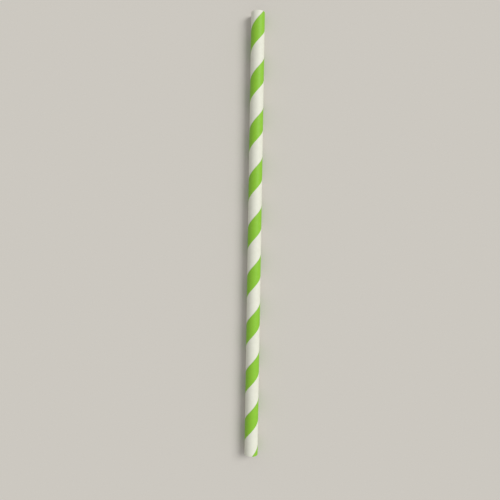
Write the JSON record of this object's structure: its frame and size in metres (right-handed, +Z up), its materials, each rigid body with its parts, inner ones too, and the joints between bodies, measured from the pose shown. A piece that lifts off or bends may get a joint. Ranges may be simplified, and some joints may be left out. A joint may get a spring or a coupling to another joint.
{
  "type": "paper drinking straw",
  "caption": "Straight paper drinking straw: a thin spiral-wound paper tube, open right through, with square-cut ends and a white and lime green spiral stripe.",
  "frame": {"origin": "on the surface that the straw lies on, under the middle of its length; the tube's axis is 3 mm above it", "axes": "+Y along the straw, +X across it, +Z up from the surface it lies on"},
  "size_m": [0.006, 0.197, 0.006],
  "materials": {
    "striped_paper": "matte"
  },
  "bodies": {
    "root": {"straw_tube": "striped_paper"}
  },
  "joints": []
}
